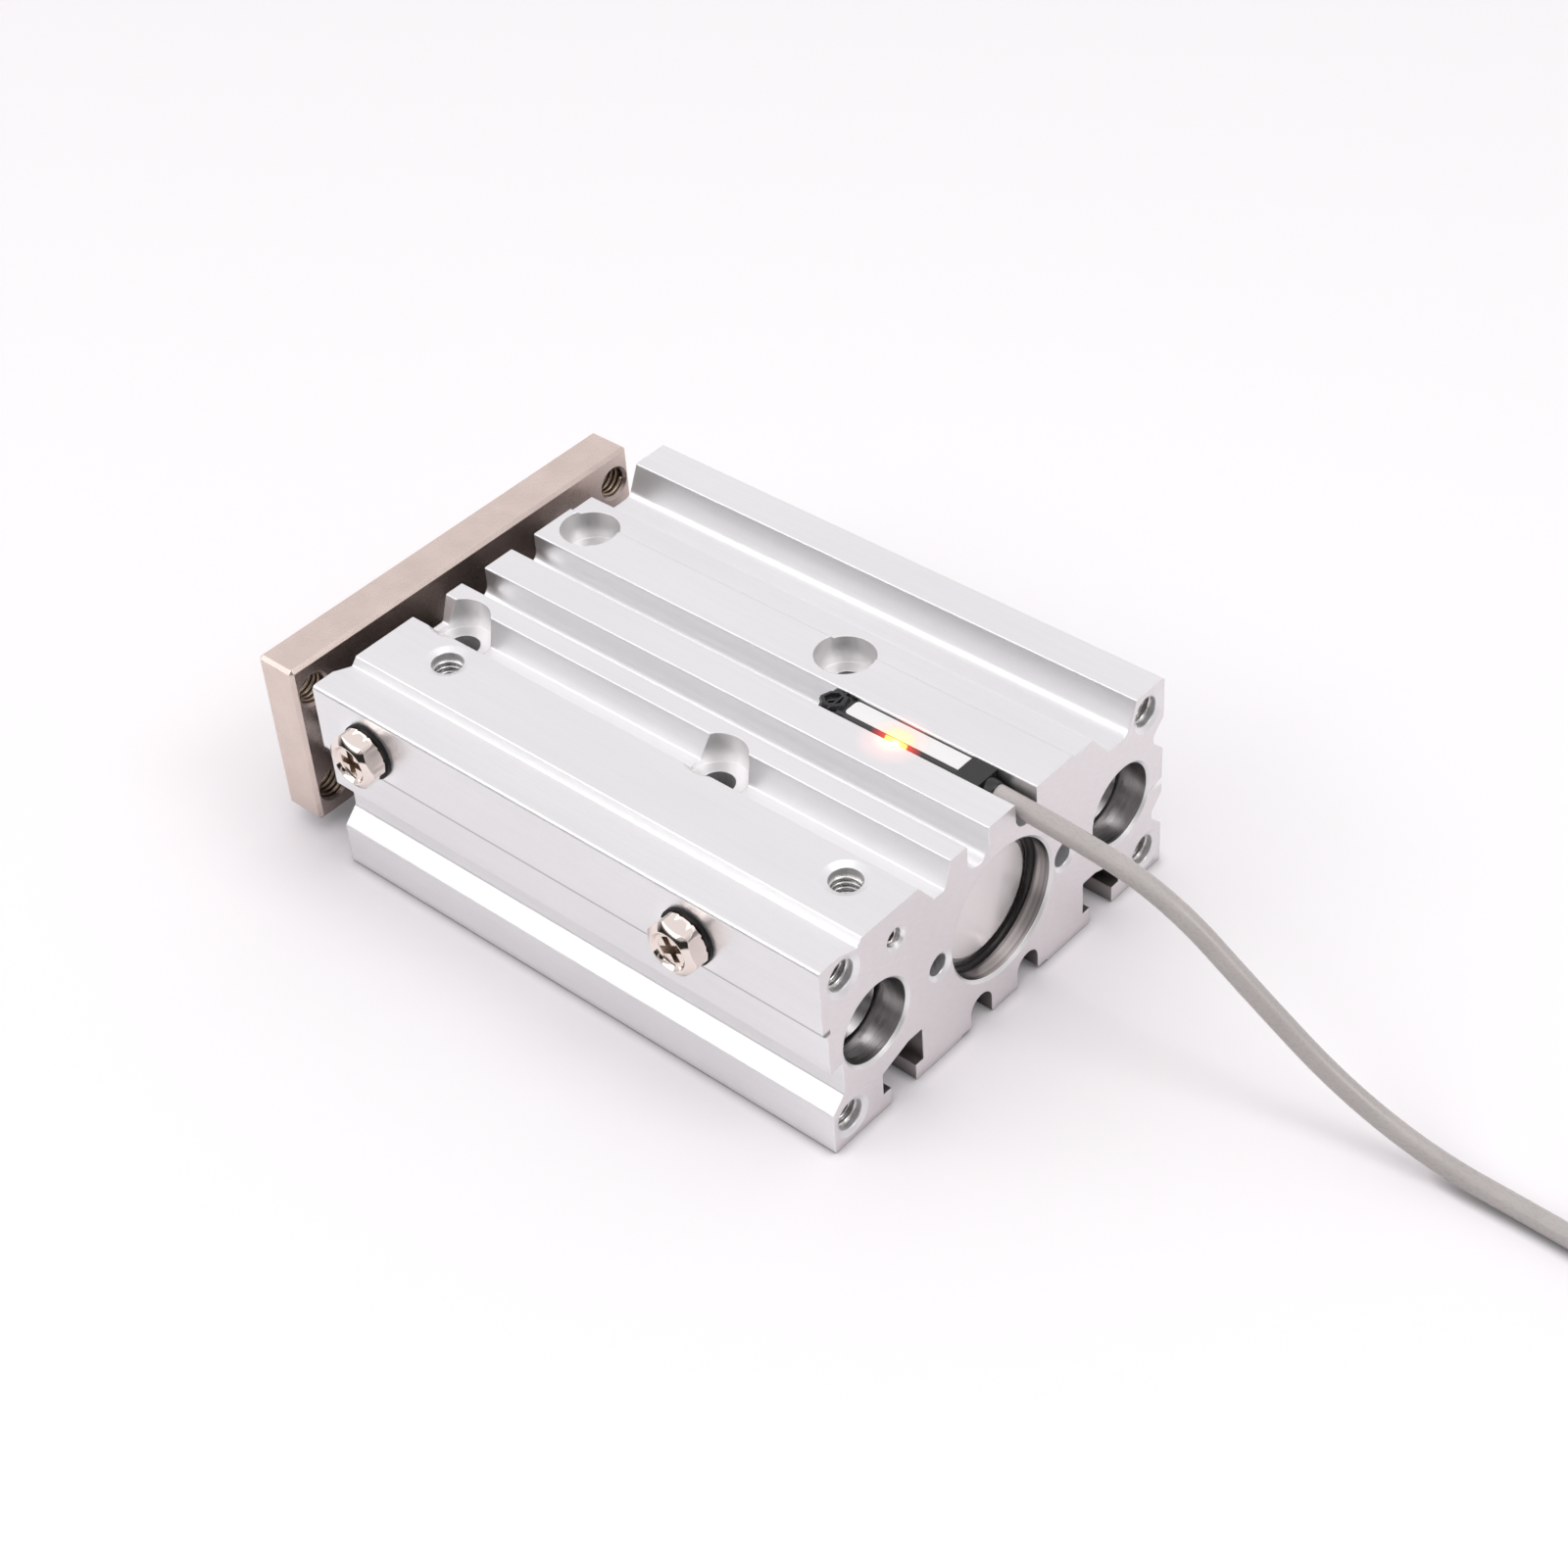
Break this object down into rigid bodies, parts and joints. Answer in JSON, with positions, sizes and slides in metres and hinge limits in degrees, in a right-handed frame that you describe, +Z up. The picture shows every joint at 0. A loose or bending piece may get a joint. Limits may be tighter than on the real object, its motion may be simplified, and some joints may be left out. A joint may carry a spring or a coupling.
{
  "type": "guided pneumatic cylinder",
  "caption": "Compact guided pneumatic cylinder: slotted extruded housing, guide rods and piston rod that push a flat end plate, and a slot-mounted position sensor on a lead.",
  "frame": {"origin": "middle of the housing's bottom, on the strip between the two switch slots", "axes": "+X the way the end plate extends, +Y towards the side with the port plugs, +Z up, from the bottom face with the T-slots to the face with the open ports"},
  "size_m": [0.2155, 0.0785, 0.03],
  "materials": {
    "anodised": "satin clear-anodised extrusion, finely blasted",
    "turned_aluminium": "turned and anodised, satin",
    "plated_steel": "nickel-plated steel, satin",
    "hard_chrome": "ground and hard chromed",
    "stainless": "ground stainless steel",
    "nickel": "bright nickel plate",
    "bronze": "oil-filled sintered bronze",
    "spring_steel": "phosphated spring steel",
    "screw_steel": "black oxide steel",
    "seal_rubber": "nitrile rubber, matt black",
    "bumper_urethane": "polyurethane, dark amber",
    "bearing_resin": "filled bearing resin",
    "magnet": "rubber-bonded magnet",
    "sensor_black": "moulded charcoal plastic",
    "lens_clear": "clear window over a red lamp",
    "lead_grey": "grey vinyl sheath",
    "core_insulation": "brown and blue core insulation"
  },
  "bodies": {
    "cylinder": {"housing": "anodised", "head_cover": "turned_aluminium", "head_cover_seal": "seal_rubber", "head_cover_ring": "spring_steel", "rear_bumper": "bumper_urethane", "rod_cover": "turned_aluminium", "rod_cover_seal": "seal_rubber", "rod_cover_circlip": "spring_steel", "rod_seal": "seal_rubber", "front_bumper": "bumper_urethane", "front_bush_left": "bronze", "front_bush_right": "bronze", "inner_bush_left": "bronze", "inner_bush_right": "bronze", "port_plug_front": "nickel", "port_plug_rear": "nickel", "plug_gasket_front": "seal_rubber", "plug_gasket_rear": "seal_rubber", "gallery_plug": "screw_steel", "sensor_body": "sensor_black", "sensor_lens": "lens_clear", "sensor_screw": "screw_steel", "sensor_lead": "lead_grey", "sensor_lead_coil": "lead_grey", "sensor_lead_tail": "lead_grey", "sensor_lead_cores": "core_insulation"},
    "carriage": {"end_plate": "plated_steel", "piston_rod": "stainless", "guide_rod_left": "hard_chrome", "guide_rod_right": "hard_chrome", "piston": "turned_aluminium", "piston_seal": "seal_rubber", "piston_wear_ring": "bearing_resin", "piston_magnet": "magnet", "rod_bolt": "screw_steel", "guide_bolts": "screw_steel"}
  },
  "joints": [
    {"name": "plate_slide", "type": "slide", "parent": "cylinder", "child": "carriage", "axis": [1, 0, 0], "range_m": [0, 0.05]}
  ]
}
